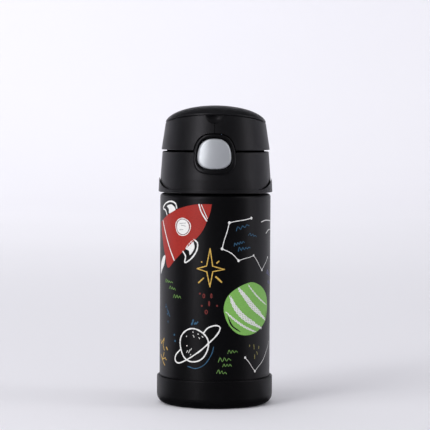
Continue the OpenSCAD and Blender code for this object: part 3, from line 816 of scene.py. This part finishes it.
def make_button_springs(material):
    """The two springs behind the button, copied from their CAD nodes and carried with the lid."""
    for side in ("left", "right"):
        node = frame["nodes"]["button_spring_" + side]
        piece = node.copy()
        piece.name = "spring_" + side
        piece.data = node.data.copy()
        piece.data.materials.clear()
        piece.data.materials.append(material)
        bpy.context.collection.objects.link(piece)
        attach(piece, "lid")
        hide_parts(node.name)
        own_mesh(piece)


# Widths of the bezel and of its hole, and how much higher the hole is than the button.
BEZEL_WIDTH = 0.0246
HOLE_WIDTH = 0.0209
HOLE_HIGHER = 0.0007
# How far the bead's edges and its crest stand out of the lid, and how far its back lies within it.
BEAD_EDGE = 0.0005
BEAD_CREST = 0.00045
BEAD_BACK = 0.0004


def make_bezel_bead(material):
    """A rounded bead that follows the front of the bezel, all round the button."""
    low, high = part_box("button_bezel")
    button_low, button_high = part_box("button_cap")
    centre_z = (low[2] + high[2]) / 2
    hole_z = (button_low[2] + button_high[2]) / 2
    outer = egg(BEZEL_WIDTH, high[2] - low[2])
    inner = egg(HOLE_WIDTH, button_high[2] - button_low[2] + HOLE_HIGHER)
    steps = 12
    section = [(0.0, -BEAD_BACK), (1.0, -BEAD_BACK)]
    for k in range(steps, -1, -1):
        a = math.pi * k / steps
        section.append((0.5 - 0.5 * math.cos(a), BEAD_EDGE + BEAD_CREST * math.sin(a)))
    rings = []
    for (outer_x, outer_z), (inner_x, inner_z) in zip(outer, inner):
        start = Vector((outer_x, centre_z + outer_z))
        end = Vector((inner_x, hole_z + inner_z))
        across = [(start.lerp(end, share), lift) for share, lift in section]
        rings.append([(p.x, flank_y(p.x, p.y, lift), p.y) for p, lift in across])
    verts, faces = rings_mesh(rings, looped=True)
    piece = add_mesh("bezel_bead", verts, faces, material, 50.0)
    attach(piece, "lid")


# Angle of the folded spout above level.
SPOUT_REST = math.radians(8)
# The spout's stem below the bend: height from the deck in metres and radius in millimetres, for its
# neck in the lid's core, its two collars, the groove between them and the flange on the deck.
SPOUT_STEM = [
    (-0.0122, 2.55), (-0.0113, 5.9), (-0.0092, 5.9), (-0.009, 5.0), (-0.006, 5.0), (-0.0058, 6.9),
    (0.0, 6.95), (0.0001, 8.0), (0.0006, 8.5), (0.0011, 8.3), (0.0014, 7.5), (0.0022, 6.9),
]
# The spout's tube from the bend to its lip: distance along it and radius in millimetres, and flatness.
SPOUT_TUBE = [
    (9, 4.6, 0.98), (13, 4.5, 0.95), (17, 4.6, 0.9), (20, 4.8, 0.86), (21.6, 5.15, 0.84),
    (22.8, 5.35, 0.83), (24, 5.2, 0.83), (25.2, 4.8, 0.84), (26.1, 4.2, 0.85), (26.5, 3.5, 0.85),
]
# The same for its bore, from the lip inwards.
SPOUT_BORE = [(26.4, 2.6, 0.85), (26.0, 2.1, 0.85), (24, 1.9, 0.85), (18, 1.9, 0.85), (12, 1.9, 0.85)]


def spout_stations(pivot, deck, up, way):
    """Centre, direction, radius in millimetres and flatness of each ring of the spout. Its stem points
    up, and its folded tube points along way."""
    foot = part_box("spout_base")[0][2]
    stem = [(foot, 2.1), (foot + 0.0004, 2.55)] + [(deck + height, r) for height, r in SPOUT_STEM]
    stations = [(Vector((0, pivot.y, z)), up, r, 1.0) for z, r in stem]
    start = Vector((0, pivot.y, deck + 0.0030))
    knee = pivot + up * 0.0012
    end = pivot + way * 0.0065
    bend_steps = 12
    for k in range(bend_steps + 1):
        t = k / bend_steps
        centre = start * (1 - t) ** 2 + knee * (2 * t * (1 - t)) + end * t * t
        tangent = ((knee - start) * (1 - t) + (end - knee) * t).normalized()
        stations.append((centre, tangent, 6.6 - 1.9 * t, 1.0 - 0.2 * math.sin(math.pi * t)))
    for along, r, flat in SPOUT_TUBE + SPOUT_BORE:
        stations.append((pivot + way * along * MM, way, r, flat))
    return stations


def make_spout(material):
    """The spout: one silicone moulding from its stem in the lid, over the bend, to its tip."""
    joint = next(j for j in frame["joints"] if j["name"] == "spout_bend")
    pivot = Vector(joint["pos_m"])
    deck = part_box("cover_shell")[0][2] - 0.0005
    side, up = Vector((1, 0, 0)), Vector((0, 0, 1))
    way = Vector((0, -math.cos(SPOUT_REST), math.sin(SPOUT_REST)))
    segments = 48
    rings = []
    for centre, tangent, r, flat in spout_stations(pivot, deck, up, way):
        lift = side.cross(tangent).normalized() * flat
        turns = [TAU * i / segments for i in range(segments)]
        rings.append([centre + (side * math.cos(a) + lift * math.sin(a)) * r * MM for a in turns])
    verts, faces = rings_mesh(rings)
    piece = add_mesh("silicone_spout", verts, faces, material, 60.0)
    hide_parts("spout_base", "mouthpiece")
    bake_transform(piece)


# Width of the worn edge on the grip ring.
GRIP_EDGE = 0.00035


def paint_frame_nodes():
    """Gives each CAD node that stays visible its own material, and returns the materials."""
    # The cover's mould seam in the front has painted shade.
    lid = moulded_plastic("lid_plastic", 0.0048, 0.42, parting_shade=(0.1635, 0.1695), specular=0.41)
    # The collar's band in the gap below the cover has painted shade.
    gap_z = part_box("cover_shell")[0][2] - 0.0013
    collar = moulded_plastic("collar_plastic", 0.0048, 0.42, specular=0.41, gap_shade=(0.0292, 0.0312, gap_z))
    materials = {
        "outer_shell": coated_shell(),
        "inner_liner": brushed_steel("liner_steel", 0.62),
        "base_plate": brushed_steel("base_steel", 0.55),
        "getter": brushed_steel("getter_metal", 0.3, around=False),
        "boot": moulded_plastic("boot_rubber", 0.0026, 0.42, grain=0.0003, depth=0.000014, specular=0.24),
        "lid_gasket": soft_silicone("gasket_silicone", (0.8, 0.81, 0.82, 1.0)),
        "grip_ring": moulded_plastic("grip_plastic", 0.005, 0.44, grain=0.0003, depth=0.00002),
        "lid_collar": collar,
        "lid_core": moulded_plastic("core_plastic", 0.02, 0.4),
        "vent_valve": soft_silicone("vent_silicone", (0.75, 0.77, 0.78, 1.0)),
        "stem_seal": soft_silicone("seal_rubber", (0.06, 0.06, 0.065, 1.0), 0.1),
        "straw": clear_straw(),
        "button_bezel": moulded_plastic("bezel_plastic", 0.004, 0.3, depth=0.000006, specular=0.3),
        "hinge_pin": brushed_steel("pin_steel", 0.6, around=False),
        "hinge_spring": spring_wire(),
        "cover_shell": lid,
        "cover_cap": moulded_plastic("cap_plastic", 0.008, 0.4, specular=0.27),
        "latch_slider": moulded_plastic("slider_plastic", 0.03, 0.4),
    }
    for node, material in materials.items():
        piece = frame["nodes"][node]
        piece.data.materials.clear()
        piece.data.materials.append(material)
    edge = frame["nodes"]["grip_ring"].modifiers.new("edge", "BEVEL")
    edge.width = GRIP_EDGE
    edge.segments = 2
    edge.limit_method = "ANGLE"
    edge.angle_limit = math.radians(40)
    return materials


# ---------------------------------------------------------------- studio

def make_stage():
    """A pale seamless bowl: a flat floor that curves up into a wall all round. Its back half also shows
    in reflections, as a lit backdrop does, and its front half doesn't, as a dark studio."""
    paper = floor_paper()
    floor_r, curve_r, wall_top = 2.4, 0.8, 1.1
    profile = [(0.0, 0.0), (floor_r / 2, 0.0)]
    for k in range(13):
        a = math.pi / 2 * k / 12
        profile.append((floor_r + curve_r * math.sin(a), curve_r * (1 - math.cos(a))))
    profile.append((floor_r + curve_r, wall_top))
    segments = 96
    for name, first, last, shiny in (("stage_back", -0.5, 0.5, True), ("stage_front", 0.5, 1.5, False)):
        rings = []
        for k in range(segments + 1):
            a = math.pi / 2 + math.pi * (first + (last - first) * k / segments)
            rings.append([(r * math.cos(a), r * math.sin(a), z) for r, z in profile])
        n = len(profile)
        verts = [p for ring in rings for p in ring]
        faces = [(i * n + j, (i + 1) * n + j, (i + 1) * n + j + 1, i * n + j + 1)
                 for i in range(segments) for j in range(n - 1)]
        piece = add_mesh(name, verts, faces, paper, 80.0)
        piece.visible_glossy = shiny


def soft_box(name, azimuth, distance, height, width, tall, power, look=(0.0, 0.0, 0.09)):
    """A softbox seen from the object at azimuth degrees, where 0 is the camera's side and 90 the right."""
    data = bpy.data.lights.new(name, "AREA")
    data.shape = "RECTANGLE"
    data.size, data.size_y = width, tall
    data.energy = power
    lamp = bpy.data.objects.new(name, data)
    bpy.context.collection.objects.link(lamp)
    a = math.radians(azimuth)
    spot = Vector((distance * math.sin(a), -distance * math.cos(a), height))
    way = Vector(look) - spot
    lamp.matrix_world = Matrix.Translation(spot) @ way.to_track_quat("-Z", "Y").to_matrix().to_4x4()
    lamp.visible_camera = False
    return lamp


def make_lights():
    """Two tall softboxes that streak the steel, three lamps that don't show in it, and a dim world."""
    # Each softbox's azimuth in degrees, distance and height in metres, width, height and watts.
    soft_box("key_left", -37, 1.5, 0.7, 0.40, 1.7, 9.6)
    soft_box("side_right", 79, 1.4, 0.65, 0.40, 1.7, 4.3)
    top = soft_box("top", 0, 0.2, 2.4, 1.8, 1.8, 5.0)
    top.visible_glossy = False
    fill = soft_box("fill_left", -58, 1.6, 1.2, 1.0, 1.0, 9.5)
    fill.visible_glossy = False
    wash = soft_box("backdrop_wash", 203, 1.7, 2.2, 2.2, 1.0, 33.0, look=(-0.9, 3.4, 0.3))
    wash.visible_glossy = False
    world = bpy.data.worlds.new("studio")
    bpy.context.scene.world = world
    world.use_nodes = True
    tree = world.node_tree
    tree.nodes.clear()
    out = tree.nodes.new("ShaderNodeOutputWorld")
    # Shiny surfaces reflect the dark background, and everything else is lit by the plain one.
    plain = tree.nodes.new("ShaderNodeBackground")
    dark = tree.nodes.new("ShaderNodeBackground")
    share = tree.nodes.new("ShaderNodeMixShader")
    path = tree.nodes.new("ShaderNodeLightPath")
    plain.inputs["Color"].default_value = (0.97, 0.965, 1.0, 1.0)
    plain.inputs["Strength"].default_value = 0.56
    dark.inputs["Color"].default_value = (0.8, 0.8, 0.9, 1.0)
    dark.inputs["Strength"].default_value = 0.05
    tree.links.new(path.outputs["Is Glossy Ray"], share.inputs[0])
    tree.links.new(plain.outputs[0], share.inputs[1])
    tree.links.new(dark.outputs[0], share.inputs[2])
    tree.links.new(share.outputs[0], out.inputs[0])
    bpy.context.scene.view_settings.view_transform = "Standard"


make_camera()
make_lights()
make_stage()
materials = paint_frame_nodes()
make_button(silver_paint())
make_button_springs(materials["hinge_spring"])
make_bezel_bead(materials["button_bezel"])
make_spout(soft_silicone("spout_silicone", (0.82, 0.84, 0.86, 1.0)))
make_artwork()
